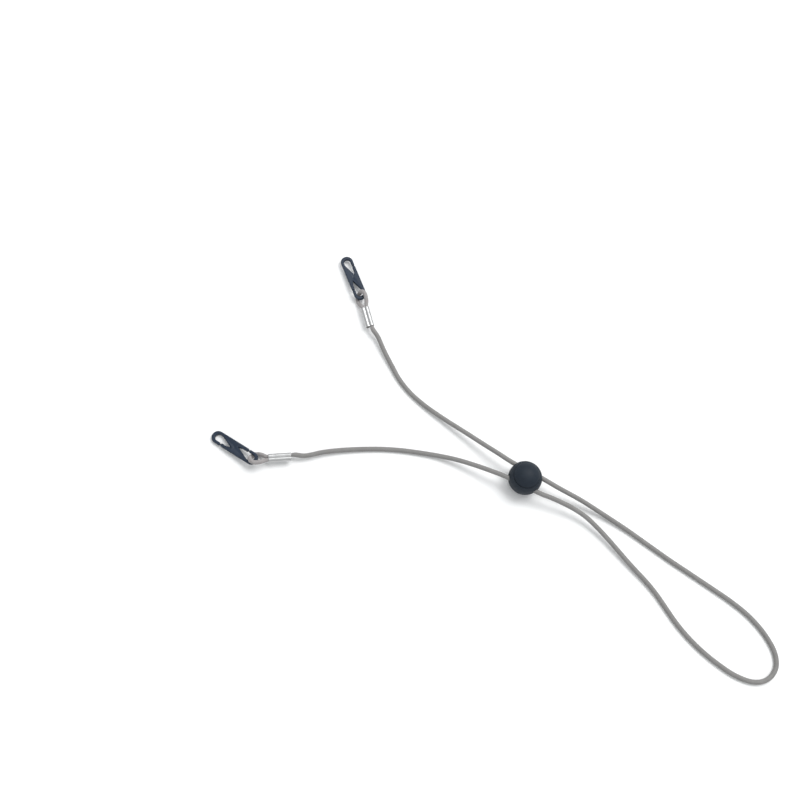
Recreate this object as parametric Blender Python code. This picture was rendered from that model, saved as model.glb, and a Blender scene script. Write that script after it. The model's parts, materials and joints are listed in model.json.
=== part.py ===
"""Face-mask neck strap, laid out on a table.

One round elastic cord makes a neck loop and two arms. Each arm ends in a loop, closed by a crimped
metal ferrule, that holds a flat plastic clip with a sprung gate at either end. Both arms pass side
by side through a ball-shaped cord lock, whose button is pushed up by a coil spring.

The frame: the origin is the centre of the lock's flat base, on the table. +X runs along the strands
through the lock, towards the neck loop, and +Z is up. Left is the +Y side. All sizes are in metres.
"""

from math import acos, asin, ceil, cos, degrees, pi, radians, sin, sqrt

import bmesh
import bpy
import numpy as np
from mathutils import Matrix, Vector

# Cord
CORD_RADIUS = 0.00125
CRIMPED = 0.76  # share of the cord's radius that is left inside a ferrule
LONGEST_STEP = 0.0170  # between two points of the cord's centreline
STRAND_Y = 0.0042  # half the distance between the two strands inside the lock
STRAND_Z = 0.0088  # their height there

# Ferrules: two round barrels side by side, in one piece
FERRULE_LENGTH = 0.0120
FERRULE_HEIGHT = 0.0040
FERRULE_ROLL = radians(16)  # the over strand is the higher one
BARREL_HALF_SPACING = 0.00104
BARREL_BORE_RADIUS = 0.00107
BARREL_OUTER_RADIUS = 0.00140
TAIL_RECESS = 0.0012  # how far the cord's cut end stops inside the ferrule
SWELL = 0.0020  # the cord is round again this far outside the ferrule

# Clips: an S-shaped bar with a hook at each end, and a thin gate that closes each hook
CLIP_LENGTH = 0.0290
CLIP_HALF_WIDTH = 0.00345
CLIP_THICKNESS = 0.0018
CLIP_ROUNDING = 0.0004
EYE_HALF_WIDTH = 0.0019
SEAT = 0.01245  # from the clip's middle to the flat in each eye's round end
NOSE_TIP = 0.0077
WEDGE_START = 0.0093  # each eye narrows from here
WEDGE_END = (0.00145, 0.0012)
GATE_THICKNESS = 0.0017
GATE_TIP = 0.00735
GATE_ROOT = 0.0016
GATE_ROOT_GAP = 0.0003
GATE_ROUNDING = 0.00025
PIVOT = 0.0106  # from the clip's middle to the cord that it swings on
PIVOT_HEIGHT = 0.0037

# Lock: a ball with a flat base
BALL_RADIUS = 0.0090
BALL_CENTRE_Z = 0.00825
BORE_RADIUS = 0.0071
BARREL_FLOOR_Z = 0.0016
FLOOR_RADIUS = 0.0045  # the bore narrows to this at its floor
NARROWING_Z = 0.0042  # from this height
BARREL_RIM_Z = 0.0133
TUNNEL_RADIUS = 0.00158
BUTTON_RADIUS = 0.0069
BUTTON_BOTTOM_Z = 0.0046
FOOT_RADIUS = 0.0044  # the button narrows to this at its bottom
FOOT_Z = 0.0071
POCKET_RADIUS = 0.0023
POCKET_TOP_Z = 0.0110
SLOT_HALF_WIDTH = 0.0015
SLOT_BOTTOM_Z = 0.00735
SLOT_TOP_Z = 0.01265
SPRING_RADIUS = 0.00180
SPRING_WIRE_RADIUS = 0.00022
SPRING_BOTTOM_Z = 0.00190
SPRING_TOP_Z = 0.01070
SPRING_TURNS = 7
SPRING_STEPS = 12  # in one turn
LATHE_STEPS = 48
ON_AXIS = 1e-6  # a turned profile's points nearer to the axis than this are on it

# The cord's loop through a clip, from the over barrel's mouth to the under barrel's: distance from
# the mouth, distance to the over side, height, share of the cord's full radius
RIGHT_LOOP = [
    (0.0013, 0.00112, 0.00450, 0.84),
    (0.0032, 0.00190, 0.00540, 0.90),
    (0.0056, 0.00260, 0.00630, 0.90),
    (0.0077, 0.00245, 0.00660, 0.90),
    (0.0092, 0.00135, 0.00630, 0.90),
    (0.0097, -0.00055, 0.00500, 0.90),
    (0.0095, -0.00110, 0.00340, 0.90),
    (0.0090, -0.00220, 0.00165, 0.90),
    (0.0077, -0.00320, 0.00120, 0.90),
    (0.0056, -0.00355, 0.00120, 0.90),
    (0.0032, -0.00260, 0.00215, 0.90),
    (0.0013, -0.00126, 0.00335, 0.84),
]
LEFT_LOOP = [
    (0.0013, 0.00112, 0.00450, 0.84),
    (0.0032, 0.00175, 0.00550, 0.90),
    (0.0056, 0.00195, 0.00630, 0.90),
    (0.0076, 0.00180, 0.00650, 0.90),
    (0.0091, 0.00110, 0.00610, 0.90),
    (0.0097, 0.00010, 0.00480, 0.90),
    (0.0097, -0.00045, 0.00320, 0.90),
    (0.0092, -0.00130, 0.00170, 0.90),
    (0.0079, -0.00200, 0.00120, 0.90),
    (0.0058, -0.00225, 0.00120, 0.90),
    (0.0033, -0.00190, 0.00225, 0.90),
    (0.0013, -0.00118, 0.00340, 0.84),
]

# Each end of the strap: its ferrule's mouth, which faces the clip, the way from there to the clip,
# the side of that way that the over strand is on (1 is left), where the clip's pivot is along that
# way and to its over side, and the clip's own way, lean and face
RIGHT_END = {
    "mouth": (-0.12475, -0.05360), "way": 212.5, "over": 1, "loop": RIGHT_LOOP,
    "eye": (0.00908, -0.00092), "clip_way": -5.9, "clip_tilt": 6.3, "face": 1,
}
LEFT_END = {
    "mouth": (-0.12141, 0.04891), "way": 132.4, "over": -1, "loop": LEFT_LOOP,
    "eye": (0.00928, -0.00038), "clip_way": -42.1, "clip_tilt": 3.0, "face": -1,
}

# The arms, from the ferrule to the lock
RIGHT_ARM = [
    (-0.1088, -0.0431, 0.0032),
    (-0.1010, -0.0363, 0.0025),
    (-0.0927, -0.0303, 0.0019),
    (-0.0839, -0.0248, 0.0015),
    (-0.0749, -0.0198, 0.0013),
    (-0.0655, -0.0155, 0.0013),
    (-0.0564, -0.0121, 0.0015),
    (-0.0469, -0.0091, 0.0022),
    (-0.0371, -0.0069, 0.0040),
    (-0.0269, -0.0056, 0.0060),
    (-0.0174, -0.0049, 0.0079),
]
LEFT_ARM = [
    (-0.1068, 0.0369, 0.0034),
    (-0.1000, 0.0314, 0.0025),
    (-0.0924, 0.0259, 0.0018),
    (-0.0849, 0.0207, 0.0014),
    (-0.0763, 0.0166, 0.0013),
    (-0.0664, 0.0137, 0.0016),
    (-0.0540, 0.0114, 0.0026),
    (-0.0391, 0.0091, 0.0046),
    (-0.0269, 0.0071, 0.0064),
    (-0.0174, 0.0056, 0.0079),
]

# The two strands through the lock, along +X
RIGHT_STRAND = [
    (-0.0115, -0.00445, 0.0086),
    (-0.0070, -0.00428, 0.00875),
    (0.0070, -0.00413, 0.00875),
    (0.0115, -0.00395, 0.0086),
]
LEFT_STRAND = [
    (-0.0115, 0.00465, 0.0086),
    (-0.0070, 0.00432, 0.00875),
    (0.0070, 0.00408, 0.00875),
    (0.0115, 0.00385, 0.0086),
]

# The neck loop, from the lock's right strand round to its left one
NECK_LOOP = [
    (0.0178, -0.0031, 0.0080),
    (0.0287, -0.0023, 0.0064),
    (0.0375, -0.0029, 0.0051),
    (0.0473, -0.0056, 0.0038),
    (0.0576, -0.0096, 0.0029),
    (0.0676, -0.0138, 0.0022),
    (0.0844, -0.0206, 0.0015),
    (0.1036, -0.0318, 0.0013),
    (0.1162, -0.0370, 0.0013),
    (0.1300, -0.0403, 0.0013),
    (0.1396, -0.0412, 0.0013),
    (0.1480, -0.0399, 0.0013),
    (0.1532, -0.0365, 0.0013),
    (0.1558, -0.0318, 0.0013),
    (0.1560, -0.0264, 0.0013),
    (0.1529, -0.0206, 0.0013),
    (0.1453, -0.0145, 0.0013),
    (0.1350, -0.0097, 0.0013),
    (0.1241, -0.0070, 0.0013),
    (0.1102, -0.0050, 0.0013),
    (0.0965, -0.0032, 0.0013),
    (0.0865, -0.0019, 0.0013),
    (0.0722, 0.0004, 0.0013),
    (0.0606, 0.0022, 0.0015),
    (0.0461, 0.0036, 0.0026),
    (0.0319, 0.0042, 0.0051),
    (0.0178, 0.0037, 0.0079),
]

# Colour, roughness and metallic value of each material
LOOKS = {
    "cord": ((0.30, 0.285, 0.275), 0.75, 0.0),
    "ferrule": ((0.80, 0.80, 0.80), 0.25, 1.0),
    "clip": ((0.022, 0.028, 0.045), 0.38, 0.0),
    "lock": ((0.030, 0.034, 0.042), 0.50, 0.0),
    "spring": ((0.62, 0.62, 0.62), 0.30, 1.0),
}


def clear_scene():
    for obj in list(bpy.data.objects):
        bpy.data.objects.remove(obj, do_unlink=True)


def material(name):
    found = bpy.data.materials.get(name)
    if found:
        return found
    colour, roughness, metallic = LOOKS[name]
    made = bpy.data.materials.new(name)
    made.use_nodes = True
    shader = made.node_tree.nodes["Principled BSDF"]
    shader.inputs["Base Color"].default_value = (*colour, 1.0)
    shader.inputs["Roughness"].default_value = roughness
    shader.inputs["Metallic"].default_value = metallic
    made.diffuse_color = (*colour, 1.0)
    return made


def add_object(name, data, look, parent=None):
    obj = bpy.data.objects.new(name, data)
    data.materials.append(material(look))
    bpy.context.collection.objects.link(obj)
    obj.parent = parent
    return obj


def add_pivot(name, place, parent=None):
    """An empty on a joint's axis. place is its matrix under its parent."""
    pivot = bpy.data.objects.new(name, None)
    pivot.empty_display_size = 0.005
    bpy.context.collection.objects.link(pivot)
    pivot.parent = parent
    pivot.matrix_local = place
    return pivot


def frame_matrix(origin, x_axis, y_axis):
    """The matrix of a frame with this origin, X axis and Y axis."""
    columns = (Vector(x_axis), Vector(y_axis), Vector(x_axis).cross(Vector(y_axis)))
    turn = Matrix([list(c) for c in columns]).transposed().to_4x4()
    return Matrix.Translation(Vector(origin)) @ turn


def mesh_from(name, build):
    """A mesh made by build(bm), with its faces pointing out."""
    bm = bmesh.new()
    build(bm)
    bmesh.ops.recalc_face_normals(bm, faces=bm.faces)
    mesh = bpy.data.meshes.new(name)
    bm.to_mesh(mesh)
    bm.free()
    mesh.shade_smooth()
    mesh.set_sharp_from_angle(angle=radians(35))
    return mesh


def arc(centre, radius, start, end, steps):
    """Points on an arc, from start to end degrees."""
    turns = [radians(start + (end - start) * i / steps) for i in range(steps + 1)]
    return [(centre[0] + radius * cos(a), centre[1] + radius * sin(a)) for a in turns]


def plate(name, outline, thickness):
    """A flat plate with this outline, centred on its own Z = 0."""

    def build(bm):
        face = bm.faces.new([bm.verts.new((x, y, -thickness / 2)) for x, y in outline])
        raised = bmesh.ops.extrude_face_region(bm, geom=[face])
        tops = [v for v in raised["geom"] if isinstance(v, bmesh.types.BMVert)]
        bmesh.ops.translate(bm, verts=tops, vec=(0, 0, thickness))

    return mesh_from(name, build)


def turned(name, profile):
    """A profile of (radius, height) points that starts and ends on the Z axis, turned round it."""

    def build(bm):
        turns = [2 * pi * i / LATHE_STEPS for i in range(LATHE_STEPS)]
        rings = []
        for radius, height in profile:
            spots = [(radius * cos(a), radius * sin(a), height) for a in turns]
            on_axis = radius < ON_AXIS
            rings.append([bm.verts.new(spot) for spot in (spots[:1] if on_axis else spots)])
        for low, high in zip(rings, rings[1:]):
            for i in range(LATHE_STEPS):
                j = (i + 1) % LATHE_STEPS
                corners = [low[i % len(low)], low[j % len(low)], high[j % len(high)], high[i % len(high)]]
                bm.faces.new(list(dict.fromkeys(corners)))

    return mesh_from(name, build)


def tube(name, points, radius, resolution, look, shares=None):
    """A round bar along points, with filled ends. shares are its radius there, of the full one."""
    curve = bpy.data.curves.new(name, "CURVE")
    curve.dimensions = "3D"
    curve.bevel_depth = radius
    curve.bevel_resolution = resolution
    curve.use_fill_caps = True
    spline = curve.splines.new("POLY")
    spline.points.add(len(points) - 1)
    for i, spot in enumerate(spline.points):
        spot.co = (*points[i], 1)
        spot.radius = shares[i] if shares is not None else 1
    return add_object(name, curve, look)


def round_edges(obj, width):
    bevel = obj.modifiers.new("Rounding", "BEVEL")
    bevel.width = width
    bevel.segments = 2
    bevel.limit_method = "ANGLE"
    bevel.angle_limit = radians(50)


def cut(obj, name, mesh, place=None):
    """Takes the mesh away from obj, with a cutter that isn't part of the object."""
    cutter = add_object(name, mesh, "lock", obj.parent)
    cutter.matrix_local = place or Matrix.Identity(4)
    cutter.hide_render = True
    cutter.display_type = "WIRE"
    boolean = obj.modifiers.new(name, "BOOLEAN")
    boolean.operation = "DIFFERENCE"
    boolean.object = cutter


def catmull_rom(p0, p1, p2, p3, knots, t):
    """The point at knot value t of the curve that runs from p1 to p2, with neighbours p0 and p3."""
    t0, t1, t2, t3 = knots
    a1 = ((t1 - t) * p0 + (t - t0) * p1) / (t1 - t0)
    a2 = ((t2 - t) * p1 + (t - t1) * p2) / (t2 - t1)
    a3 = ((t3 - t) * p2 + (t - t2) * p3) / (t3 - t2)
    b1 = ((t2 - t) * a1 + (t - t0) * a2) / (t2 - t0)
    b2 = ((t3 - t) * a2 + (t - t1) * a3) / (t3 - t1)
    return ((t2 - t) * b1 + (t - t1) * b2) / (t2 - t1)


def smooth_route(points):
    """Points along a smooth curve through points, at most LONGEST_STEP apart."""
    points = np.array(points)
    held = np.vstack([2 * points[0] - points[1], points, 2 * points[-1] - points[-2]])
    route = [points[0]]
    for span in zip(held, held[1:], held[2:], held[3:]):
        chords = [np.linalg.norm(b - a) ** 0.5 for a, b in zip(span, span[1:])]
        knots = np.cumsum([0, *chords])
        count = ceil(np.linalg.norm((span[2] - span[1])[:3]) / LONGEST_STEP)
        for i in range(1, count + 1):
            t = knots[1] + (knots[2] - knots[1]) * i / count
            route.append(catmull_rom(*span, knots, t))
    return np.array(route)


def end_axes(end):
    """The way from the ferrule to the clip, and the direction to the over strand, both level."""
    way = radians(end["way"])
    along = Vector((cos(way), sin(way), 0))
    over = Vector((-sin(way), cos(way), 0)) * end["over"]
    return along, over


def end_route(end, tail):
    """The cord at one end, from the ferrule's over barrel round the loop to its under barrel. tail
    says which barrel holds the cord's cut end, "over" or "under"; the arm leaves the other one."""
    along, over = end_axes(end)
    across = BARREL_HALF_SPACING * cos(FERRULE_ROLL)
    rise = BARREL_HALF_SPACING * sin(FERRULE_ROLL)
    stations = list(end["loop"])
    for side, place in ((1, 0), (-1, len(stations) + 1)):
        stations.insert(place, (0.0, side * across, FERRULE_HEIGHT + side * rise, CRIMPED))
    over_end, under_end = stations[0], stations[-1]
    cut_end, arm_end = -FERRULE_LENGTH + TAIL_RECESS, -FERRULE_LENGTH
    if tail == "over":
        stations.insert(0, (cut_end, *over_end[1:]))
        stations.append((arm_end, *under_end[1:]))
        stations.append((arm_end - SWELL, *under_end[1:3], 1.0))
    else:
        stations.insert(0, (arm_end, *over_end[1:]))
        stations.insert(0, (arm_end - SWELL, *over_end[1:3], 1.0))
        stations.append((cut_end, *under_end[1:]))
    mouth = Vector((*end["mouth"], 0))
    route = []
    for distance, side, height, share in stations:
        spot = mouth + along * distance + over * side
        route.append((spot.x, spot.y, height, share))
    return route


def make_cord():
    middle = RIGHT_ARM + RIGHT_STRAND + NECK_LOOP + LEFT_STRAND[::-1] + LEFT_ARM[::-1]
    full = [(*point, 1.0) for point in middle]
    route = smooth_route(end_route(RIGHT_END, "over") + full + end_route(LEFT_END, "under"))
    tube("cord", route[:, :3], CORD_RADIUS, 2, "cord", route[:, 3])


def double_barrel(radius, steps):
    """The outline round two circles side by side. The circles cross at its two waists."""
    waist = degrees(acos(-BARREL_HALF_SPACING / radius))
    right = arc((BARREL_HALF_SPACING, 0), radius, -waist, waist, steps)
    return right[:-1] + [(-x, -y) for x, y in right][:-1]


def make_ferrule(name, end):
    """The two barrels, as a wall between an outer and an inner outline."""

    def build(bm):
        rings = []
        for radius, x in (
            (BARREL_OUTER_RADIUS, 0),
            (BARREL_OUTER_RADIUS, -FERRULE_LENGTH),
            (BARREL_BORE_RADIUS, -FERRULE_LENGTH),
            (BARREL_BORE_RADIUS, 0),
        ):
            rings.append([bm.verts.new((x, y, z)) for y, z in double_barrel(radius, 16)])
        count = len(rings[0])
        for ring, following in zip(rings, rings[1:] + rings[:1]):
            for i in range(count):
                j = (i + 1) % count
                bm.faces.new((ring[i], ring[j], following[j], following[i]))

    along, over = end_axes(end)
    across = over * cos(FERRULE_ROLL) + Vector((0, 0, sin(FERRULE_ROLL)))
    ferrule = add_object(name, mesh_from(name, build), "ferrule")
    ferrule.matrix_world = frame_matrix((*end["mouth"], FERRULE_HEIGHT), along, across)


def clip_outline():
    """The S-shaped bar without its gates, in the clip's own plane. The half with the mask's hook is
    drawn, and the other half is the same, turned half round."""
    head = CLIP_LENGTH / 2 - CLIP_HALF_WIDTH
    eye = sqrt(EYE_HALF_WIDTH**2 - (SEAT - PIVOT) ** 2)
    seat_angle = degrees(asin(eye / EYE_HALF_WIDTH))
    wall = GATE_ROOT - GATE_ROOT_GAP
    half = [(wall, CLIP_HALF_WIDTH)]
    half += arc((-head, 0), CLIP_HALF_WIDTH, 90, 270, 16)
    half += [(-NOSE_TIP, -CLIP_HALF_WIDTH), (-NOSE_TIP, -EYE_HALF_WIDTH)]
    half += arc((-PIVOT, 0), EYE_HALF_WIDTH, 270, 180 + seat_angle, 6)
    half += arc((-PIVOT, 0), EYE_HALF_WIDTH, 180 - seat_angle, 90, 6)
    half += [(-WEDGE_START, EYE_HALF_WIDTH), (-WEDGE_END[0], -WEDGE_END[1])]
    half += [(-wall, -WEDGE_END[1] - 2 * (WEDGE_END[0] - wall))]
    return half + [(-x, -y) for x, y in half]


def gate_outline():
    """A gate that runs from its hinge, at the origin, towards -X, with a round tip."""
    length, half = GATE_TIP - GATE_ROOT, GATE_THICKNESS / 2
    tip = arc((-length + half, 0), half, 90, 270, 8)
    return [(0, half), *tip, (0, -half)]


def make_clip(name, end):
    """A clip and its two gates. Its pivot stands in the cord's loop, and each gate's at its root."""
    way = radians(end["clip_way"])
    tilt = radians(end["clip_tilt"])
    clip_along = Vector((cos(way) * cos(tilt), sin(way) * cos(tilt), sin(tilt)))
    clip_across = Vector((-sin(way), cos(way), 0)) * end["face"]
    along, over = end_axes(end)
    spot = Vector((*end["mouth"], PIVOT_HEIGHT)) + along * end["eye"][0] + over * end["eye"][1]
    pivot = add_pivot(f"{name}_pivot", frame_matrix(spot, clip_along, clip_across))
    outline = [(x - PIVOT, y) for x, y in clip_outline()]
    body = add_object(f"{name}_body", plate(f"{name}_body", outline, CLIP_THICKNESS), "clip", pivot)
    round_edges(body, CLIP_ROUNDING)
    hinge_y = CLIP_HALF_WIDTH - GATE_THICKNESS / 2
    for gate, side, turn in (("mask_gate", -1, 0), ("cord_gate", 1, pi)):
        place = Matrix.Translation((side * GATE_ROOT - PIVOT, side * hinge_y, 0))
        hinge = add_pivot(f"{name}_{gate}_hinge", place @ Matrix.Rotation(turn, 4, "Z"), pivot)
        mesh = plate(f"{name}_{gate}", gate_outline(), CLIP_THICKNESS)
        round_edges(add_object(f"{name}_{gate}", mesh, "clip", hinge), GATE_ROUNDING)


def ball_arc(low, high, steps):
    """(radius, height) points on the ball's outline between two heights."""
    start, end = (degrees(asin(min((z - BALL_CENTRE_Z) / BALL_RADIUS, 1))) for z in (low, high))
    return arc((0, BALL_CENTRE_Z), BALL_RADIUS, start, end, steps)


def make_barrel(pivot):
    wall = [(0, 0), *ball_arc(0, BARREL_RIM_Z, 14)]
    bore = [(BORE_RADIUS, BARREL_RIM_Z), (BORE_RADIUS, NARROWING_Z)]
    bore += [(FLOOR_RADIUS, BARREL_FLOOR_Z), (0, BARREL_FLOOR_Z)]
    barrel = add_object("lock_barrel", turned("lock_barrel", wall + bore), "lock", pivot)
    for side, name in ((-1, "tunnel_right"), (1, "tunnel_left")):
        round_hole = plate(name, arc((0, 0), TUNNEL_RADIUS, 0, 345, 23), 3 * BALL_RADIUS)
        cut(barrel, name, round_hole, frame_matrix((0, side * STRAND_Y, STRAND_Z), (0, 1, 0), (0, 0, 1)))


def make_button(pivot):
    pocket = [(0, POCKET_TOP_Z), (POCKET_RADIUS, POCKET_TOP_Z), (POCKET_RADIUS, BUTTON_BOTTOM_Z)]
    shoulder = BALL_CENTRE_Z + sqrt(BALL_RADIUS**2 - BUTTON_RADIUS**2)
    dome = ball_arc(shoulder, BALL_CENTRE_Z + BALL_RADIUS, 8)
    profile = [*pocket, (FOOT_RADIUS, BUTTON_BOTTOM_Z), (BUTTON_RADIUS, FOOT_Z), *dome]
    button = add_object("lock_button", turned("lock_button", profile), "lock", pivot)
    low, high = SLOT_BOTTOM_Z + SLOT_HALF_WIDTH, SLOT_TOP_Z - SLOT_HALF_WIDTH
    for side, name in ((-1, "slot_right"), (1, "slot_left")):
        outline = arc((0, high), SLOT_HALF_WIDTH, 0, 180, 10) + arc((0, low), SLOT_HALF_WIDTH, 180, 360, 10)
        slot = plate(name, outline, 3 * BALL_RADIUS)
        cut(button, name, slot, frame_matrix((0, side * STRAND_Y, 0), (0, 1, 0), (0, 0, 1)))


def make_spring():
    """A compression spring whose first and last turns lie nearly flat."""
    count = SPRING_TURNS * SPRING_STEPS
    points = []
    for i in range(count + 1):
        turn = i / SPRING_STEPS
        flat = 2 * SPRING_WIRE_RADIUS * 1.15
        middle = SPRING_TOP_Z - SPRING_BOTTOM_Z - 2 * flat
        climb = min(turn, 1) * flat + max(0, min(turn - 1, SPRING_TURNS - 2)) / (SPRING_TURNS - 2) * middle
        climb += max(0, turn - SPRING_TURNS + 1) * flat
        angle = 2 * pi * turn
        points.append((SPRING_RADIUS * cos(angle), SPRING_RADIUS * sin(angle), SPRING_BOTTOM_Z + climb))
    tube("lock_spring", points, SPRING_WIRE_RADIUS, 1, "spring")


clear_scene()
make_cord()
for side, strap_end in (("right", RIGHT_END), ("left", LEFT_END)):
    make_ferrule(f"ferrule_{side}", strap_end)
    make_clip(f"clip_{side}", strap_end)
lock_pivot = add_pivot("lock_pivot", Matrix.Identity(4))
make_barrel(lock_pivot)
make_button(lock_pivot)
make_spring()
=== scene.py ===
"""A face-mask neck strap on a pale floor.

Every place and size is in metres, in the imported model's frame: +X runs along the strands through
the lock towards the neck loop, +Z is up, and left is the +Y side.
"""

import json
from math import acos, asin, cos, degrees, pi, radians, sin, sqrt, tan

import bmesh
import bpy
import numpy as np
from mathutils import Matrix, Vector


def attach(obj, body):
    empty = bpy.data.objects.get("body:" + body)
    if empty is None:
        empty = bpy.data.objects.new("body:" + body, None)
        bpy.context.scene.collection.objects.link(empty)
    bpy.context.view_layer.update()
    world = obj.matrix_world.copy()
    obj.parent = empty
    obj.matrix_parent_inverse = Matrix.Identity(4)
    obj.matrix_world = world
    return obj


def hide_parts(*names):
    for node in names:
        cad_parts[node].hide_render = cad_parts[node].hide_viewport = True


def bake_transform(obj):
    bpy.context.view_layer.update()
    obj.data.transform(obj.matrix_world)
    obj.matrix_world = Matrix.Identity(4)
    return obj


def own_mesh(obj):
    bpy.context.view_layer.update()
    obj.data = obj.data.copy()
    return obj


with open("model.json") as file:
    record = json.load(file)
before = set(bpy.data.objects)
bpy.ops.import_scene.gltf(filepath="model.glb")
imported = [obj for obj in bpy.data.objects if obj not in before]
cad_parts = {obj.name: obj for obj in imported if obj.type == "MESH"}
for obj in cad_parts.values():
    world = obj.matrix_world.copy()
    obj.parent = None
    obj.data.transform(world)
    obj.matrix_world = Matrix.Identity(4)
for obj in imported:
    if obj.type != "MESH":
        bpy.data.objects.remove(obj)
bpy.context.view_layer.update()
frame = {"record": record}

RECORD = frame["record"]
JOINTS = {joint["name"]: joint for joint in RECORD["behaviour"]["joints"]}
MOUNTS = {mount["name"]: mount for mount in RECORD["mounts"]}

# ---------------------------------------------------------------- the cord's route, as in the CAD
CORD_RADIUS = 0.00125
CRIMPED = 0.76  # share of the cord's radius that is left inside a ferrule
STRAND_Y = 0.0042
STRAND_Z = 0.0088

FERRULE_LENGTH = 0.0120
FERRULE_HEIGHT = 0.0040
FERRULE_ROLL = radians(16)
BARREL_HALF_SPACING = 0.00104
BARREL_BORE_RADIUS = 0.00107
BARREL_OUTER_RADIUS = 0.00140
TAIL_RECESS = 0.0012
SWELL = 0.0020

# The loop through a clip, from the over barrel's mouth to the under barrel's: distance from the
# mouth, distance to the over side, height, share of the cord's full radius
RIGHT_LOOP = [
    (0.0013, 0.00112, 0.00450, 0.84),
    (0.0032, 0.00190, 0.00540, 0.90),
    (0.0056, 0.00260, 0.00630, 0.90),
    (0.0077, 0.00245, 0.00660, 0.90),
    (0.0092, 0.00135, 0.00630, 0.90),
    (0.0097, -0.00055, 0.00500, 0.90),
    (0.0095, -0.00110, 0.00340, 0.90),
    (0.0090, -0.00220, 0.00165, 0.90),
    (0.0077, -0.00320, 0.00120, 0.90),
    (0.0056, -0.00355, 0.00120, 0.90),
    (0.0032, -0.00260, 0.00215, 0.90),
    (0.0013, -0.00126, 0.00335, 0.84),
]
LEFT_LOOP = [
    (0.0013, 0.00112, 0.00450, 0.84),
    (0.0032, 0.00175, 0.00550, 0.90),
    (0.0056, 0.00195, 0.00630, 0.90),
    (0.0076, 0.00180, 0.00650, 0.90),
    (0.0091, 0.00110, 0.00610, 0.90),
    (0.0097, 0.00010, 0.00480, 0.90),
    (0.0097, -0.00045, 0.00320, 0.90),
    (0.0092, -0.00130, 0.00170, 0.90),
    (0.0079, -0.00200, 0.00120, 0.90),
    (0.0058, -0.00225, 0.00120, 0.90),
    (0.0033, -0.00190, 0.00225, 0.90),
    (0.0013, -0.00118, 0.00340, 0.84),
]

# Each end of the strap: its ferrule's mouth, which faces the clip, the way from there to the clip
# in degrees, the side of that way that the over strand is on (1 is left), and the loop
RIGHT_END = {"mouth": (-0.12475, -0.05360), "way": 212.5, "over": 1, "loop": RIGHT_LOOP}
LEFT_END = {"mouth": (-0.12141, 0.04891), "way": 132.4, "over": -1, "loop": LEFT_LOOP}

# The arms, from the ferrule to the lock
RIGHT_ARM = [
    (-0.1088, -0.0431, 0.0032),
    (-0.1010, -0.0363, 0.0025),
    (-0.0927, -0.0303, 0.0019),
    (-0.0839, -0.0248, 0.0015),
    (-0.0749, -0.0198, 0.0013),
    (-0.0655, -0.0155, 0.0013),
    (-0.0564, -0.0121, 0.0015),
    (-0.0469, -0.0091, 0.0022),
    (-0.0371, -0.0069, 0.0040),
    (-0.0269, -0.0056, 0.0060),
    (-0.0174, -0.0049, 0.0079),
]
LEFT_ARM = [
    (-0.1068, 0.0369, 0.0034),
    (-0.1000, 0.0314, 0.0025),
    (-0.0924, 0.0259, 0.0018),
    (-0.0849, 0.0207, 0.0014),
    (-0.0763, 0.0166, 0.0013),
    (-0.0664, 0.0137, 0.0016),
    (-0.0540, 0.0114, 0.0026),
    (-0.0391, 0.0091, 0.0046),
    (-0.0269, 0.0071, 0.0064),
    (-0.0174, 0.0056, 0.0079),
]

# The neck loop, from the lock's right strand round to its left one
RIGHT_STRAND = [
    (-0.0115, -0.00445, 0.0086),
    (-0.0070, -0.00428, 0.00875),
    (0.0070, -0.00413, 0.00875),
    (0.0115, -0.00395, 0.0086),
]
LEFT_STRAND = [
    (-0.0115, 0.00465, 0.0086),
    (-0.0070, 0.00432, 0.00875),
    (0.0070, 0.00408, 0.00875),
    (0.0115, 0.00385, 0.0086),
]
NECK_LOOP = [
    (0.0178, -0.0031, 0.0080),
    (0.0287, -0.0023, 0.0064),
    (0.0375, -0.0029, 0.0051),
    (0.0473, -0.0056, 0.0038),
    (0.0576, -0.0096, 0.0029),
    (0.0676, -0.0138, 0.0022),
    (0.0844, -0.0206, 0.0015),
    (0.1036, -0.0318, 0.0013),
    (0.1162, -0.0370, 0.0013),
    (0.1300, -0.0403, 0.0013),
    (0.1396, -0.0412, 0.0013),
    (0.1480, -0.0399, 0.0013),
    (0.1532, -0.0365, 0.0013),
    (0.1558, -0.0318, 0.0013),
    (0.1560, -0.0264, 0.0013),
    (0.1529, -0.0206, 0.0013),
    (0.1453, -0.0145, 0.0013),
    (0.1350, -0.0097, 0.0013),
    (0.1241, -0.0070, 0.0013),
    (0.1102, -0.0050, 0.0013),
    (0.0965, -0.0032, 0.0013),
    (0.0865, -0.0019, 0.0013),
    (0.0722, 0.0004, 0.0013),
    (0.0606, 0.0022, 0.0015),
    (0.0461, 0.0036, 0.0026),
    (0.0319, 0.0042, 0.0051),
    (0.0178, 0.0037, 0.0079),
]

# ---------------------------------------------------------------- finer shapes than the CAD's
RING_STEP = 0.00024  # between two rings of the cord's surface
CORD_SIDES = 40
YARNS = 10  # in each direction round the braid
BRAID_PERIOD = 0.00095  # along the cord, from one crossing to the next
BRAID_RELIEF = 0.00005
WORN_LENGTH, WORN_FADE = 0.055, 0.020  # the paler stretch at each end, and how much of it is a fade
LOCK_MOUTH_X = 0.0077  # where a strand comes out of the lock
ARM_BEND = ((-0.112, 0, 0), (-0.012, 0, 0))  # the stretch of the arms between these points, which the lock's sliding would bend
LOOP_BEND = ((0.150, 0, 0), (0.012, 0, 0))

CRIMPS = (0.27, 0.73)  # shares of a ferrule's length
CRIMP_SPREAD = 0.09
CRIMP_DEPTH = 0.00005
LIP_FLARE = 0.00004
BARREL_WAIST = 0.00028  # radius of the groove between the two barrels

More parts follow.
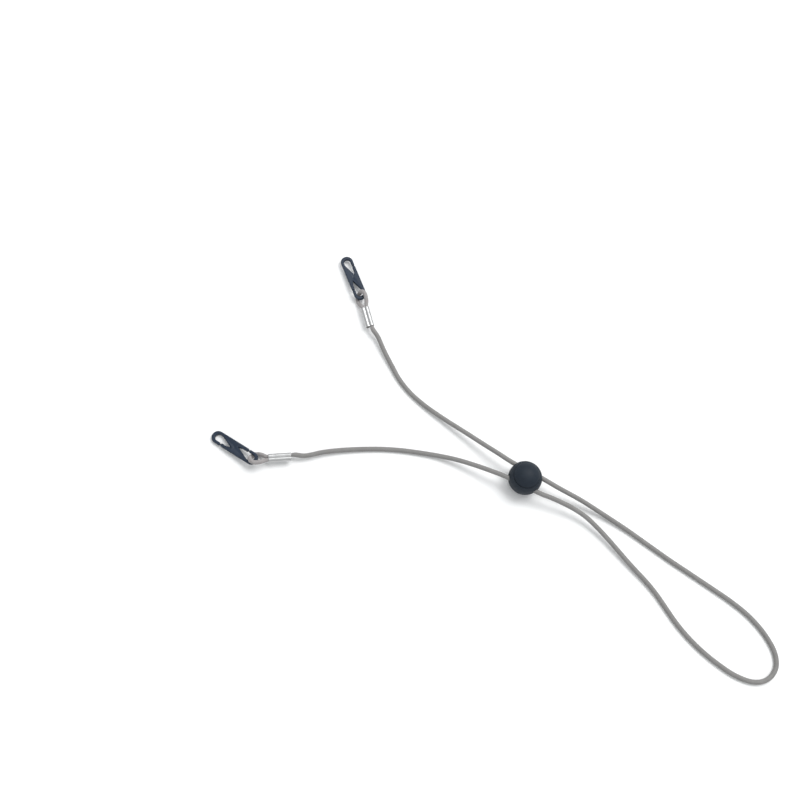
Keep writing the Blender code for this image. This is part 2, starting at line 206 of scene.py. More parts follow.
CLIP_LENGTH = 0.0290
CLIP_HALF_WIDTH = 0.00345
CLIP_THICKNESS = 0.0018
EYE_HALF_WIDTH = 0.0019
SEAT = 0.01245
NOSE_TIP = 0.0077
WEDGE_START = 0.0093
WEDGE_END = (0.00145, 0.0012)
GATE_THICKNESS = 0.0017
GATE_TIP = 0.00735
GATE_ROOT = 0.0016
GATE_FLARE = 0.00085
PIVOT = 0.0106
CLIP_ROUNDING = 0.00045
GATE_ROUNDING = 0.0004
MOULD_SEAM = 0.00003
DIMPLE_BALL = 0.0020  # the ball that presses the dimple
DIMPLE_CENTRE_Z = 0.00278
FLAT_RIM = 0.00004  # a narrow ring that keeps a plate's face flat up to its rounded rim
SKIN = 0.00002  # how far a gate's root lies under the surface of the web that it grows from

BALL_RADIUS = 0.0090
BALL_CENTRE_Z = 0.00825
BARREL_FLOOR_Z = 0.0016
FLOOR_RADIUS = 0.0045  # the bore narrows to this at its floor
NARROWING_Z = 0.0042  # from this height
BARREL_RIM_Z = 0.0133
RING_GAP = 0.00009  # between the cup and the plunger
TUNNEL_RADIUS = 0.00158
BUTTON_RADIUS = 0.0069
BUTTON_BOTTOM_Z = 0.0046
FOOT_RADIUS = 0.0044  # the button narrows to this at its bottom
FOOT_Z = 0.0071
POCKET_RADIUS = 0.0023
POCKET_TOP_Z = 0.0110
SLOT_HALF_WIDTH = 0.0015
SLOT_BOTTOM_Z = 0.00735
SLOT_TOP_Z = 0.01265
SPRING_RADIUS = 0.00180
SPRING_WIRE_RADIUS = 0.00022
SPRING_BOTTOM_Z = 0.00190
SPRING_TOP_Z = 0.01070
SPRING_TURNS = 7
SPRING_STEPS = 32  # for each turn
LATHE_STEPS = 128


# ---------------------------------------------------------------- the camera, the floor and the light
CAMERA_PLACE = (-0.02515, -0.18197, 0.5102)
CAMERA_AIM = (-0.07915, 0.01053, 0)
CAMERA_LENS = 45
CAMERA_ROLL = radians(12.2)
BACKDROP, HORIZON, ZENITH = 0.85, 0.42, 0.88  # the sky's brightness at the floor's edge, low, overhead
LIGHT_DISTANCE = 1.1
KEY_WAY, KEY_SIZE, KEY_POWER = (0.22, 0.45, 0.89), 0.60, 7.0
FILL_WAY, FILL_SIZE, FILL_POWER = (-0.28, 0.42, 0.86), 0.50, 1.6
FLOOR_HALF_SIDE = 2.5


def link(obj):
    bpy.context.scene.collection.objects.link(obj)
    return obj


def add_camera():
    place, aim = Vector(CAMERA_PLACE), Vector(CAMERA_AIM)
    data = bpy.data.cameras.new("camera")
    data.sensor_width = 36
    data.lens = CAMERA_LENS
    data.clip_start = 0.01
    camera = link(bpy.data.objects.new("camera", data))
    turn = (aim - place).to_track_quat("-Z", "Y").to_matrix().to_4x4()
    camera.matrix_world = Matrix.Translation(place) @ turn @ Matrix.Rotation(CAMERA_ROLL, 4, "Z")
    bpy.context.scene.camera = camera


def add_light(name, way, size, power):
    data = bpy.data.lights.new(name, "AREA")
    data.size = size
    data.energy = power
    light = link(bpy.data.objects.new(name, data))
    light.location = Vector(way).normalized() * LIGHT_DISTANCE
    light.rotation_euler = Vector(way).to_track_quat("Z", "Y").to_euler()


def add_studio():
    world = bpy.data.worlds.new("studio")
    bpy.context.scene.world = world
    world.use_nodes = True
    sky = world.node_tree.nodes["Background"]
    sky.inputs["Color"].default_value = (0.97, 0.99, 1, 1)
    way = add_node(world, "TexCoord").outputs["Generated"]
    height = add_node(world, "SeparateXYZ", {0: way}).outputs["Z"]
    above = spread(world, height, HORIZON, ZENITH, 0.10, 0.80)
    level = spread(world, height, BACKDROP, HORIZON, 0, 0.22)
    join(world, calculate(world, "MAXIMUM", above, level), sky, "Strength")
    bpy.context.scene.view_settings.view_transform = "Standard"
    add_light("key", KEY_WAY, KEY_SIZE, KEY_POWER)
    add_light("fill", FILL_WAY, FILL_SIZE, FILL_POWER)
    bm = bmesh.new()
    bmesh.ops.create_grid(bm, x_segments=1, y_segments=1, size=FLOOR_HALF_SIDE)
    mesh = bpy.data.meshes.new("floor")
    bm.to_mesh(mesh)
    bm.free()
    floor = link(bpy.data.objects.new("floor", mesh))
    mesh.materials.append(new_look("floor", (0.93, 0.93, 0.93), 0.85)[0])


# ---------------------------------------------------------------- materials
def new_look(name, colour, roughness, metallic=0.0):
    look = bpy.data.materials.new(name)
    look.use_nodes = True
    look.diffuse_color = (*colour, 1)
    shader = look.node_tree.nodes["Principled BSDF"]
    shader.inputs["Base Color"].default_value = (*colour, 1)
    shader.inputs["Roughness"].default_value = roughness
    shader.inputs["Metallic"].default_value = metallic
    return look, shader


def add_node(look, kind, sockets=None, **settings):
    """A shader node. sockets gives its inputs, each a value or another node's output."""
    tree = look.node_tree
    made = tree.nodes.new("ShaderNode" + kind)
    for name, value in settings.items():
        setattr(made, name, value)
    for name, value in (sockets or {}).items():
        if isinstance(value, bpy.types.NodeSocket):
            tree.links.new(value, made.inputs[name])
        else:
            made.inputs[name].default_value = value
    return made


def calculate(look, operation, *values):
    return add_node(look, "Math", dict(enumerate(values)), operation=operation).outputs[0]


def noise(look, scale, detail):
    """Noise in object space, with this many features per metre."""
    place = add_node(look, "TexCoord").outputs["Object"]
    sockets = {"Vector": place, "Scale": scale, "Detail": detail}
    return add_node(look, "TexNoise", sockets).outputs["Fac"]


def blend_colours(look, share, low, high):
    made = add_node(look, "Mix", {"Factor": share}, data_type="RGBA")
    ends = [socket for socket in made.inputs if socket.type == "RGBA"]
    ends[0].default_value, ends[1].default_value = (*low, 1), (*high, 1)
    return next(socket for socket in made.outputs if socket.type == "RGBA")


def spread(look, value, low, high, start=0, end=1):
    """value, from start to end, mapped to low to high."""
    sockets = {"Value": value, "From Min": start, "From Max": end, "To Min": low, "To Max": high}
    return add_node(look, "MapRange", sockets).outputs[0]


def join(look, output, shader, name):
    look.node_tree.links.new(output, shader.inputs[name])


def bump(look, shader, height, distance, strength):
    sockets = {"Height": height, "Distance": distance, "Strength": strength}
    join(look, add_node(look, "Bump", sockets).outputs[0], shader, "Normal")


def make_cord_look():
    """Braided elastic. The braid's two sets of yarns cross over and under each other, and the gaps
    between them are coloured darker as painted shade.
    """
    look, shader = new_look("cord_braid", (0.30, 0.285, 0.275), 0.62)
    uv = add_node(look, "UVMap", uv_map="braid").outputs[0]
    split = add_node(look, "SeparateXYZ", {0: uv})
    around = calculate(look, "MULTIPLY", split.outputs["X"], YARNS)
    one = calculate(look, "ADD", around, split.outputs["Y"])
    two = calculate(look, "SUBTRACT", around, split.outputs["Y"])
    cells = calculate(look, "ADD", calculate(look, "FLOOR", one), calculate(look, "FLOOR", two))
    over = calculate(look, "FLOORED_MODULO", cells, 2.0)
    crowns = []
    for yarn in (one, two):
        wave = calculate(look, "SINE", calculate(look, "MULTIPLY", yarn, pi))
        crowns.append(calculate(look, "ABSOLUTE", wave))
    shifted = calculate(look, "MULTIPLY", calculate(look, "SUBTRACT", crowns[1], crowns[0]), over)
    crown = calculate(look, "ADD", crowns[0], shifted)
    fibres = noise(look, 9000, 3)
    mottle = noise(look, 260, 2)
    mixed = calculate(look, "MULTIPLY_ADD", crown, 0.55, calculate(look, "MULTIPLY", fibres, 0.45))
    # painted shade: the base colour darkens from the yarns' crowns into the gaps between them; the
    # fibre noise mixed in is the yarn's own tone
    tone_and_painted_shade = blend_colours(look, mixed, (0.096, 0.093, 0.091), (0.285, 0.277, 0.270))
    worn = add_node(look, "Attribute", attribute_name="worn").outputs["Fac"]
    tint = blend_colours(look, worn, (1.0, 1.0, 1.0), (1.42, 1.37, 1.40))
    tinted = add_node(look, "VectorMath", {0: tone_and_painted_shade, 1: tint}, operation="MULTIPLY").outputs[0]
    level = spread(look, mottle, 0.86, 1.14)
    final = add_node(look, "VectorMath", {0: tinted, "Scale": level}, operation="SCALE").outputs[0]
    join(look, final, shader, "Base Color")
    join(look, spread(look, fibres, 0.52, 0.74), shader, "Roughness")
    shader.inputs["Sheen Weight"].default_value = 0.25
    shader.inputs["Sheen Roughness"].default_value = 0.4
    height = calculate(look, "MULTIPLY_ADD", fibres, 0.5, crown)
    bump(look, shader, height, 0.00004, 0.6)
    return look


def make_core_look():
    """The cut end of the cord: pale rubber strands, coloured darker towards the gaps between them as
    painted shade.
    """
    look, shader = new_look("cord_core", (0.62, 0.58, 0.50), 0.7)
    place = add_node(look, "TexCoord").outputs["Object"]
    strands = add_node(look, "TexVoronoi", {"Vector": place, "Scale": 2600}).outputs["Distance"]
    # painted shade: each strand's colour darkens with distance from its middle, towards the gaps
    # between strands
    tone_and_painted_shade = blend_colours(look, strands, (0.70, 0.66, 0.58), (0.20, 0.19, 0.17))
    join(look, tone_and_painted_shade, shader, "Base Color")
    bump(look, shader, strands, 0.0001, 0.5)
    return look


def make_metal_look(name, colour, low, high, scratches):
    """Bright metal with fine scratches and a slight unevenness."""
    look, shader = new_look(name, colour, low, 1.0)
    fine = noise(look, scratches, 4)
    broad = noise(look, 420, 2)
    mixed = calculate(look, "MULTIPLY", fine, broad)
    join(look, spread(look, mixed, low, high), shader, "Roughness")
    darker = tuple(c * 0.86 for c in colour)
    join(look, blend_colours(look, broad, darker, colour), shader, "Base Color")
    bump(look, shader, calculate(look, "ADD", fine, broad), 0.00003, 0.10)
    return look


def make_plastic_look(name, dark, light, low, high, shine, grain, depth):
    """Moulded plastic with a fine grain and slight handling marks."""
    look, shader = new_look(name, light, low)
    shader.inputs["Specular IOR Level"].default_value = shine
    fine = noise(look, grain, 3)
    broad = noise(look, 300, 3)
    join(look, blend_colours(look, broad, dark, light), shader, "Base Color")
    join(look, spread(look, calculate(look, "MULTIPLY", fine, broad), low, high), shader, "Roughness")
    bump(look, shader, fine, depth, 0.5)
    return look


# ---------------------------------------------------------------- shared shape tools
def piece(name, mesh, looks, place=None):
    """A piece of the object, smooth but for its sharp edges."""
    obj = link(bpy.data.objects.new(name, mesh))
    for look in looks:
        mesh.materials.append(look)
    obj.matrix_world = place or Matrix.Identity(4)
    mesh.shade_smooth()
    mesh.set_sharp_from_angle(angle=radians(40))
    return obj


def mesh_of(name, points, faces):
    """A mesh whose faces all point out."""
    mesh = bpy.data.meshes.new(name)
    mesh.from_pydata([tuple(p) for p in points], [], [tuple(f) for f in faces])
    bm = bmesh.new()
    bm.from_mesh(mesh)
    bmesh.ops.recalc_face_normals(bm, faces=bm.faces)
    bm.to_mesh(mesh)
    bm.free()
    return mesh


def arc(centre, radius, start, end, steps):
    """Points on an arc, from start to end degrees."""
    turns = [radians(start + (end - start) * i / steps) for i in range(steps + 1)]
    return [(centre[0] + radius * cos(a), centre[1] + radius * sin(a)) for a in turns]


def filleted(corners, steps=6):
    """An outline from corners of (x, y) or (x, y, radius of the rounding there)."""
    outline = []
    for i, corner in enumerate(corners):
        here = Vector(corner[:2])
        if len(corner) == 2:
            outline.append(tuple(here))
            continue
        before = Vector(corners[i - 1][:2]) - here
        after = Vector(corners[(i + 1) % len(corners)][:2]) - here
        half = before.angle(after) / 2
        back = min(corner[2] / tan(half), 0.48 * before.length, 0.48 * after.length)
        radius = back * tan(half)
        centre = here + (before.normalized() + after.normalized()).normalized() * (radius / sin(half))
        first = here + before.normalized() * back - centre
        last = here + after.normalized() * back - centre
        turn = first.angle_signed(last)
        for k in range(steps + 1):
            outline.append(tuple(centre + Matrix.Rotation(-turn * k / steps, 2) @ first))
    return outline


def inset(outline, amount):
    """The outline moved inwards by this amount, at most 1.6 times as far at a corner."""
    points = np.array(outline)
    edges = np.roll(points, -1, axis=0) - points
    area = (points[:, 0] * np.roll(points[:, 1], -1) - np.roll(points[:, 0], -1) * points[:, 1]).sum()
    normals = np.stack([-edges[:, 1], edges[:, 0]], axis=1) * np.sign(area)
    normals /= np.linalg.norm(normals, axis=1, keepdims=True)
    both = normals + np.roll(normals, 1, axis=0)
    both /= np.linalg.norm(both, axis=1, keepdims=True)
    share = np.maximum((both * normals).sum(axis=1, keepdims=True), 1 / 1.6)
    return points + both * amount / share


def rounded_plate(name, outline, thickness, rounding, seam=0.0):
    """A flat plate with rounded rims and a fine raised mould seam round its edge."""
    levels = [(rounding * (1 - sin(a)), thickness / 2 - rounding * (1 - cos(a)))
              for a in np.radians([0, 15, 30, 45, 60, 75, 90])]
    levels = [(rounding + FLAT_RIM, thickness / 2), *levels]
    half = levels + [(0, seam * 1.6), (-seam, seam * 0.5)] if seam else levels
    levels = half + [(i, -z) for i, z in reversed(half)]
    count = len(outline)
    points = []
    for amount, z in levels:
        points += [(x, y, z) for x, y in inset(outline, amount)]
    faces = []
    for ring in range(len(levels) - 1):
        for i in range(count):
            j = (i + 1) % count
            low, high = ring * count, (ring + 1) * count
            faces.append((low + i, low + j, high + j, high + i))
    faces.append(range(count))
    faces.append(range(len(points) - count, len(points)))
    return mesh_of(name, points, faces)


def lathe(name, profile, steps=LATHE_STEPS):
    """A profile of (radius, height) points that starts and ends on the Z axis, turned round it."""
    points, rings = [], []
    for radius, height in profile:
        turns = [2 * pi * i / steps for i in range(steps if radius > 1e-7 else 1)]
        rings.append(range(len(points), len(points) + len(turns)))
        points += [(radius * cos(a), radius * sin(a), height) for a in turns]
    faces = []
    for low, high in zip(rings, rings[1:]):
        for i in range(steps):
            j = (i + 1) % steps
            corners = [low[i % len(low)], low[j % len(low)], high[j % len(high)], high[i % len(high)]]
            faces.append(list(dict.fromkeys(corners)))
    return mesh_of(name, points, faces)


def carve(mesh, cutters):
    """The mesh with the cutters, pairs of a mesh and its matrix, taken away from it."""
    body = link(bpy.data.objects.new("carving", mesh))
    helpers = []
    for cutter, place in cutters:
        helper = link(bpy.data.objects.new("cutter", cutter))
        helper.matrix_world = place
        helpers.append(helper)
        step = body.modifiers.new("cut", "BOOLEAN")
        step.operation = "DIFFERENCE"
        step.object = helper
    graph = bpy.context.evaluated_depsgraph_get()
    carved = bpy.data.meshes.new_from_object(body.evaluated_get(graph))
    carved.name = mesh.name
    for helper in [body, *helpers]:
        bpy.data.objects.remove(helper)
    return carved


def axes_matrix(origin, x_axis, y_axis):
    x_axis, y_axis = Vector(x_axis), Vector(y_axis)
    turn = Matrix([list(x_axis), list(y_axis), list(x_axis.cross(y_axis))]).transposed().to_4x4()
    return Matrix.Translation(Vector(origin)) @ turn


# ---------------------------------------------------------------- the cord
def catmull_rom(p0, p1, p2, p3, knots, t):
    t0, t1, t2, t3 = knots
    a1 = ((t1 - t) * p0 + (t - t0) * p1) / (t1 - t0)
    a2 = ((t2 - t) * p1 + (t - t1) * p2) / (t2 - t1)
    a3 = ((t3 - t) * p2 + (t - t2) * p3) / (t3 - t2)
    b1 = ((t2 - t) * a1 + (t - t0) * a2) / (t2 - t0)
    b2 = ((t3 - t) * a2 + (t - t1) * a3) / (t3 - t1)
    return ((t2 - t) * b1 + (t - t1) * b2) / (t2 - t1)


def smooth_route(points, steps=60):
    """Points close together on a smooth curve through the route's points."""
    points = np.array(points, float)
    held = np.vstack([2 * points[0] - points[1], points, 2 * points[-1] - points[-2]])
    route = [points[:1]]
    for span in zip(held, held[1:], held[2:], held[3:]):
        chords = [np.linalg.norm((b - a)[:3]) ** 0.5 for a, b in zip(span, span[1:])]
        knots = np.cumsum([0, *chords])
        t = np.linspace(knots[1], knots[2], steps + 1)[1:, None]
        route.append(catmull_rom(*span, knots, t))
    return np.vstack(route)


def end_axes(end):
    way = radians(end["way"])
    return Vector((cos(way), sin(way), 0)), Vector((-sin(way), cos(way), 0)) * end["over"]


def end_route(end, tail):
    """The cord at one end, from the over barrel round the loop to the under barrel, as in the CAD."""
    along, over = end_axes(end)
    across = BARREL_HALF_SPACING * cos(FERRULE_ROLL)
    rise = BARREL_HALF_SPACING * sin(FERRULE_ROLL)
    over_end = (0.0, across, FERRULE_HEIGHT + rise, CRIMPED)
    under_end = (0.0, -across, FERRULE_HEIGHT - rise, CRIMPED)
    cut_end, arm_end = -FERRULE_LENGTH + TAIL_RECESS, -FERRULE_LENGTH
    ends = {}
    for name, mouth in (("over", over_end), ("under", under_end)):
        if name == tail:
            ends[name] = [(cut_end, *mouth[1:]), mouth]
        else:
            ends[name] = [(arm_end - SWELL, *mouth[1:3], 1.0), (arm_end, *mouth[1:]), mouth]
    stations = ends["over"] + end["loop"] + ends["under"][::-1]
    origin = Vector((*end["mouth"], 0))
    route = []
    for distance, side, height, share in stations:
        spot = origin + along * distance + over * side
        route.append((spot.x, spot.y, height, share))
    return route


def evenly(route):
    """The route's points, RING_STEP apart, and each one's distance along it."""
    lengths = np.linalg.norm(np.diff(route[:, :3], axis=0), axis=1)
    travelled = np.concatenate([[0], np.cumsum(lengths)])
    spots = np.linspace(0, travelled[-1], round(travelled[-1] / RING_STEP) + 1)
    return np.stack([np.interp(spots, travelled, column) for column in route.T], axis=1), spots


def braid_height(around, along):
    """0 to 1: the braid's relief at a share of the way round and a number of periods along."""
    one, two = around * YARNS + along, around * YARNS - along
    over = (np.floor(one) + np.floor(two)) % 2
    return np.where(over == 0, np.abs(np.sin(pi * one)), np.abs(np.sin(pi * two)))


def cord_piece(name, route, travelled, worn_ends, looks):
    """A braided tube along part of the cord. Its cut ends are caps in the second look."""
    line, shares = route[:, :3], route[:, 3]
    ways = np.gradient(line, axis=0)
    ways /= np.linalg.norm(ways, axis=1, keepdims=True)
    side = np.cross(ways[0], (0, 0, 1.0))
    sides = []
    for way in ways:
        side = side - way * side.dot(way)
        side /= np.linalg.norm(side)
        sides.append(side)
    sides = np.array(sides)
    ups = np.cross(ways, sides)
    around = np.arange(CORD_SIDES) / CORD_SIDES
    along = travelled / BRAID_PERIOD
    relief = braid_height(around[None, :], along[:, None]) - 0.5
    radius = (CORD_RADIUS + BRAID_RELIEF * relief) * shares[:, None]
    turn = 2 * pi * around
    spots = line[:, None] + radius[..., None] * (
        np.cos(turn)[None, :, None] * sides[:, None] + np.sin(turn)[None, :, None] * ups[:, None])
    rings = len(line)
    ring, slot = np.meshgrid(np.arange(rings - 1), np.arange(CORD_SIDES), indexing="ij")
    following = (slot + 1) % CORD_SIDES
    corners = [ring * CORD_SIDES + slot, ring * CORD_SIDES + following,
               (ring + 1) * CORD_SIDES + following, (ring + 1) * CORD_SIDES + slot]
    quads = np.stack(corners, axis=-1).reshape(-1, 4)
    faces = quads.tolist()
    faces.append(list(range(CORD_SIDES))[::-1])
    faces.append(list(range((rings - 1) * CORD_SIDES, rings * CORD_SIDES)))
    mesh = bpy.data.meshes.new(name)
    mesh.from_pydata(spots.reshape(-1, 3).tolist(), [], faces)
    mesh.polygons[len(faces) - 1].material_index = 1
    mesh.polygons[len(faces) - 2].material_index = 1
    braid = mesh.uv_layers.new(name="braid")
    u = np.stack([slot, slot + 1, slot + 1, slot], axis=-1) / CORD_SIDES
    v = np.stack([along[ring], along[ring], along[ring + 1], along[ring + 1]], axis=-1)
    values = np.zeros((len(mesh.loops), 2), np.float32)
    values[: quads.size] = np.stack([u, v], axis=-1).reshape(-1, 2)
    braid.data.foreach_set("uv", values.ravel())
    worn = mesh.attributes.new("worn", "FLOAT", "POINT")
    worn.data.foreach_set("value", np.repeat(worn_ends, CORD_SIDES).astype(np.float32))
    obj = piece(name, mesh, looks)
    long = float(np.linalg.norm(np.diff(line, axis=0), axis=1).sum())
    return obj, line, long


def make_cords(looks):
    middle = RIGHT_ARM + RIGHT_STRAND + NECK_LOOP + LEFT_STRAND[::-1] + LEFT_ARM[::-1]
    stations = end_route(RIGHT_END, "over") + [(*point, 1.0) for point in middle]
    stations += end_route(LEFT_END, "under")
    route, travelled = evenly(smooth_route(stations))
    inside = np.flatnonzero(np.diff(np.sign(route[:, 0])))  # where the strands pass the lock's middle
    first, last = inside[0], inside[-1] + 1
    near_end = np.minimum(travelled, travelled[-1] - travelled)
    worn = np.clip((WORN_LENGTH - near_end) / WORN_FADE, 0, 1)
    parts = (
        ("arm_right", 0, first, ARM_BEND, (-LOCK_MOUTH_X, -STRAND_Y, STRAND_Z)),
        ("neck_loop", first, last, LOOP_BEND, (LOCK_MOUTH_X, -STRAND_Y, STRAND_Z)),
        ("arm_left", last, len(route) - 1, ARM_BEND, (-LOCK_MOUTH_X, STRAND_Y, STRAND_Z)),
    )
    for name, start, end, bend, leaves in parts:
        span = slice(start, end + 1)
        cord, line, long = cord_piece(name, route[span], travelled[span], worn[span], looks)
        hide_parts("cord")
        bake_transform(cord)


# ---------------------------------------------------------------- the ferrules
def double_barrel(radius, waist, steps=20):
    """The outline round two circles side by side, with rounded waists between them."""
    rise = sqrt((radius + waist) ** 2 - BARREL_HALF_SPACING**2)
    lean = degrees(acos(BARREL_HALF_SPACING / (radius + waist)))
    right = arc((BARREL_HALF_SPACING, 0), radius, lean - 180, 180 - lean, steps)
    groove = arc((0, rise), waist, -lean, lean - 180, 6)[1:-1]
    half = right + groove
    return half + [(-x, -y) for x, y in half]


def make_ferrule(name, end, look):
    """A crimped double sleeve. Its section, a wall with round lips, is drawn as (distance, radius)."""
    wall = (BARREL_OUTER_RADIUS - BARREL_BORE_RADIUS) / 2
    middle = (BARREL_OUTER_RADIUS + BARREL_BORE_RADIUS) / 2
    section = []
    for share in np.linspace(0.03, 0.97, 33):
        presses = sum(np.exp(-(((share - at) / CRIMP_SPREAD) ** 2)) for at in CRIMPS)
        flare = max(0, abs(share - 0.5) - 0.44) / 0.06
        radius = BARREL_OUTER_RADIUS - CRIMP_DEPTH * presses + LIP_FLARE * flare
        section.append((-FERRULE_LENGTH * (1 - share), radius))
    section += arc((-wall, middle), wall, 90, -90, 8)
    section += [(-FERRULE_LENGTH * share, BARREL_BORE_RADIUS) for share in (0.1, 0.5, 0.9)]
    section += arc((-FERRULE_LENGTH + wall, middle), wall, 270, 90, 8)
    points = []
    for x, radius in section:
        points += [(x, y, z) for y, z in double_barrel(radius, BARREL_WAIST)]
    count = len(points) // len(section)
    faces = []
    for ring in range(len(section)):
        low, high = ring * count, (ring + 1) % len(section) * count
        for i in range(count):
            j = (i + 1) % count
            faces.append((low + i, low + j, high + j, high + i))
    along, over = end_axes(end)
    across = over * cos(FERRULE_ROLL) + Vector((0, 0, sin(FERRULE_ROLL)))
    place = axes_matrix((*end["mouth"], FERRULE_HEIGHT), along, across)
    obj = piece(f"{name}_shell", mesh_of(name, points, faces), [look], place)
    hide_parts(name)
    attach(obj, "strap")


# ---------------------------------------------------------------- the clips
def clip_outline():
    """The S-shaped bar, about its pivot: one half, and the same turned half round."""
    head = CLIP_LENGTH / 2 - CLIP_HALF_WIDTH
    eye = degrees(acos((SEAT - PIVOT) / EYE_HALF_WIDTH))
    wall = WEDGE_END[0] - 0.00015
    half = arc((-head, 0), CLIP_HALF_WIDTH, 90, 270, 40)
    half += [(-NOSE_TIP, -CLIP_HALF_WIDTH, 0.0006), (-NOSE_TIP, -EYE_HALF_WIDTH, 0.0006)]
    half += arc((-PIVOT, 0), EYE_HALF_WIDTH, 270, 180 + eye, 14)
    half += arc((-PIVOT, 0), EYE_HALF_WIDTH, 180 - eye, 90, 14)
    half += [(-WEDGE_START, EYE_HALF_WIDTH, 0.002), (-WEDGE_END[0], -WEDGE_END[1], 0.0003)]
    half += [(-wall, -CLIP_HALF_WIDTH, 0.0005)]
    whole = half + [(-c[0], -c[1], *c[2:]) for c in half]
    return [(x - PIVOT, y) for x, y in filleted(whole)]


def gate_outline():
    """A gate that widens into the web at the origin and runs towards -X to a round tip."""
    half = GATE_THICKNESS / 2
    tip = GATE_TIP - GATE_ROOT
    corners = [(0.0009, half + GATE_FLARE, 0.0005), (0.0001, half + GATE_FLARE, 0.001)]
    corners += [(-0.0022, half, 0.004), (-tip, half, 0.0006), (-tip, -half, 0.0006)]
    corners += [(0.0009, -half, 0.0005)]
    return filleted(corners, 8)


def make_clip(side, look):
    body = f"clip_{side}"
    swing, seat = JOINTS[f"{body}_swing"], MOUNTS[f"{side}_hook_seat"]
    face = 1 if side == "right" else -1
    x_axis = Vector(seat["axis"]).normalized()
    up = Vector(swing["axis"]).normalized() * face
    place = axes_matrix(swing["pos_m"], x_axis, up.cross(x_axis).normalized())
    profile = [(0, -DIMPLE_BALL), *arc((0, 0), DIMPLE_BALL, -80, 80, 24), (0, DIMPLE_BALL)]
    ball = lathe("dimple", profile, 48)
    heights = (DIMPLE_CENTRE_Z, -DIMPLE_CENTRE_Z)
    marks = [(ball.copy(), Matrix.Translation((-PIVOT, 0, z))) for z in heights]
    plate = rounded_plate(body, clip_outline(), CLIP_THICKNESS, CLIP_ROUNDING, MOULD_SEAM)
    shell = piece(f"{body}_shell", carve(plate, marks), [look], place)
    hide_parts(f"{body}_body")
    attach(shell, body)
    for gate, way in (("mask_gate", -1), ("cord_gate", 1)):
        name = f"{body}_{gate}"
        hinge = Vector(JOINTS[f"{name}_flex"]["pos_m"])
        turned = place.to_3x3().to_4x4() @ Matrix.Rotation(0 if way < 0 else pi, 4, "Z")
        mesh = rounded_plate(name, gate_outline(), CLIP_THICKNESS - 2 * SKIN, GATE_ROUNDING)
        tongue = piece(f"{name}_tongue", mesh, [look], Matrix.Translation(hinge) @ turned)
        bpy.context.view_layer.update()
        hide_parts(name)
        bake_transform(tongue)


# ---------------------------------------------------------------- the lock
def ball_arc(low, high, steps):
    start, end = (degrees(asin(min((z - BALL_CENTRE_Z) / BALL_RADIUS, 1))) for z in (low, high))
    return arc((0, BALL_CENTRE_Z), BALL_RADIUS, start, end, steps)


def rounded_profile(corners):
    """A lathe's profile, rounded at its corners, that keeps its ends on the axis."""
    closed = filleted(corners + [(-0.01, corners[-1][1]), (-0.01, corners[0][1])], 5)
    return [(max(x, 0), z) for x, z in closed[:-2]]


def make_barrel(look):
    base = sqrt(BALL_RADIUS**2 - BALL_CENTRE_Z**2)
    rim = sqrt(BALL_RADIUS**2 - (BARREL_RIM_Z - BALL_CENTRE_Z) ** 2)
    corners = [(0, 0), (base, 0, 0.0003), *ball_arc(0.0005, BARREL_RIM_Z - 0.0005, 40)]
    bore = BUTTON_RADIUS + RING_GAP
    corners += [(rim, BARREL_RIM_Z, 0.0003), (bore, BARREL_RIM_Z, 0.0001)]
    corners += [(bore, NARROWING_Z, 0.0005), (FLOOR_RADIUS, BARREL_FLOOR_Z, 0.0005)]
    corners += [(0, BARREL_FLOOR_Z)]
    mouth = sqrt(BALL_RADIUS**2 - STRAND_Y**2 - (STRAND_Z - BALL_CENTRE_Z) ** 2)
    flare = arc((mouth - 0.0004, TUNNEL_RADIUS + 0.0007), 0.0007, 270, 340, 6)
    half = [(r, x) for x, r in flare] + [(flare[-1][1], 0.012)]
    tunnel = [(0, -0.012), *[(r, -x) for r, x in reversed(half)], *half, (0, 0.012)]
    cutters = []
    for side in (-1, 1):
        place = Matrix.Translation((0, side * STRAND_Y, STRAND_Z)) @ Matrix.Rotation(pi / 2, 4, "Y")
        cutters.append((lathe("tunnel", tunnel, 48), place))
    mesh = carve(lathe("lock_cup", rounded_profile(corners)), cutters)
    barrel = piece("lock_cup", mesh, [look])
    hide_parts("lock_barrel")
    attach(barrel, "lock")


def make_button(look):
    shoulder = BALL_CENTRE_Z + sqrt(BALL_RADIUS**2 - BUTTON_RADIUS**2)
    corners = [(0, POCKET_TOP_Z), (POCKET_RADIUS, POCKET_TOP_Z), (POCKET_RADIUS, BUTTON_BOTTOM_Z)]
    corners += [(FOOT_RADIUS, BUTTON_BOTTOM_Z, 0.0004), (BUTTON_RADIUS, FOOT_Z, 0.0004)]
    corners += [(BUTTON_RADIUS, shoulder, 0.00012)]
    corners += ball_arc(shoulder + 0.0006, BALL_CENTRE_Z + BALL_RADIUS, 30)
    low, high = SLOT_BOTTOM_Z + SLOT_HALF_WIDTH, SLOT_TOP_Z - SLOT_HALF_WIDTH
    outline = arc((0, high), SLOT_HALF_WIDTH, 0, 180, 20) + arc((0, low), SLOT_HALF_WIDTH, 180, 360, 20)
    cutters = []
    for side in (-1, 1):
        slot = rounded_plate("slot", outline, 3 * BALL_RADIUS, 0.0001)
        cutters.append((slot, axes_matrix((0, side * STRAND_Y, 0), (0, 1, 0), (0, 0, 1))))
    profile = rounded_profile(corners)
    profile[-1] = (0, profile[-1][1])
    button = piece("lock_plunger", carve(lathe("lock_plunger", profile), cutters), [look])
    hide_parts("lock_button")
    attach(button, "lock_button")


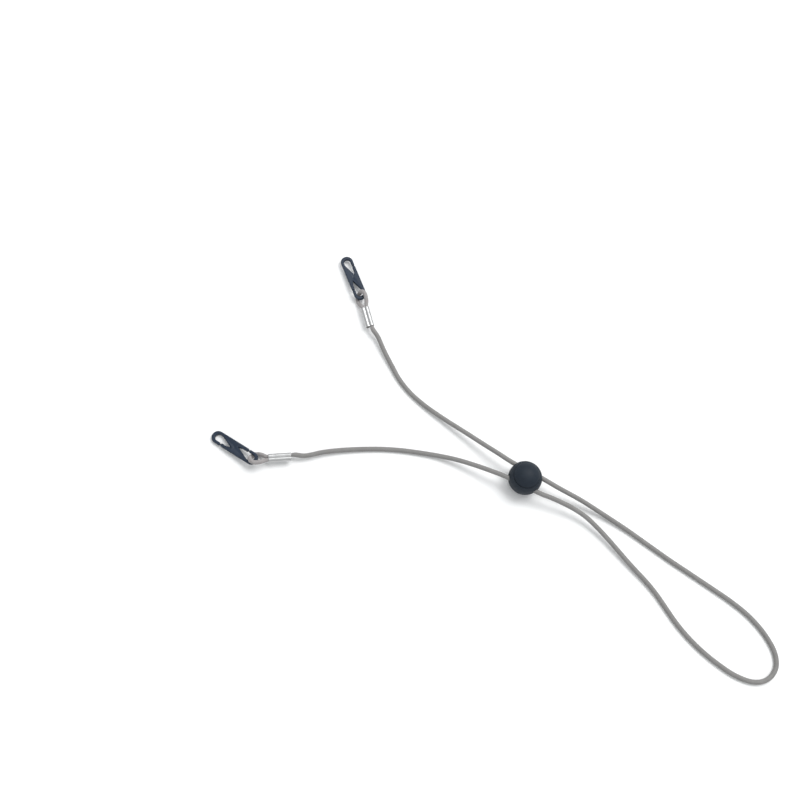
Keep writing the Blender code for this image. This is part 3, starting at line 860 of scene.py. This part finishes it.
def make_spring(look):
    """The coil: a round wire along a helix whose first and last turns lie nearly flat."""
    count = SPRING_TURNS * SPRING_STEPS
    flat = 2 * SPRING_WIRE_RADIUS * 1.15
    middle = SPRING_TOP_Z - SPRING_BOTTOM_Z - 2 * flat
    line = []
    for i in range(count + 1):
        turn = i / SPRING_STEPS
        climb = min(turn, 1) * flat + max(0, turn - SPRING_TURNS + 1) * flat
        climb += max(0, min(turn - 1, SPRING_TURNS - 2)) / (SPRING_TURNS - 2) * middle
        x, y = SPRING_RADIUS * cos(2 * pi * turn), SPRING_RADIUS * sin(2 * pi * turn)
        line.append((x, y, SPRING_BOTTOM_Z + climb))
    curve = bpy.data.curves.new("coil", "CURVE")
    curve.dimensions = "3D"
    curve.bevel_depth = SPRING_WIRE_RADIUS
    curve.bevel_resolution = 3
    curve.use_fill_caps = True
    spline = curve.splines.new("POLY")
    spline.points.add(count)
    for spot, point in zip(spline.points, line):
        spot.co = (*point, 1)
    guide = link(bpy.data.objects.new("coil", curve))
    graph = bpy.context.evaluated_depsgraph_get()
    mesh = bpy.data.meshes.new_from_object(guide.evaluated_get(graph))
    bpy.data.objects.remove(guide)
    coil = piece("lock_coil", mesh, [look])
    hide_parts("lock_spring")
    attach(coil, "lock")
    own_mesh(coil)


# ---------------------------------------------------------------- the whole scene
add_camera()
cord_look = make_cord_look()
make_cords([cord_look, make_core_look()])
add_studio()
nickel = make_metal_look("nickel", (0.54, 0.54, 0.54), 0.30, 0.46, 5200)
steel = make_metal_look("spring_steel", (0.60, 0.60, 0.60), 0.25, 0.5, 7000)
clip_plastic = make_plastic_look(
    "clip_plastic", (0.006, 0.013, 0.028), (0.018, 0.032, 0.058), 0.26, 0.48, 0.30, 6500, 0.00002)
lock_plastic = make_plastic_look(
    "lock_plastic", (0.010, 0.015, 0.023), (0.017, 0.025, 0.036), 0.50, 0.74, 0.20, 5200, 0.00004)
for side, end in (("right", RIGHT_END), ("left", LEFT_END)):
    make_ferrule(f"ferrule_{side}", end, nickel)
    make_clip(side, clip_plastic)
make_barrel(lock_plastic)
make_button(lock_plastic)
make_spring(steel)
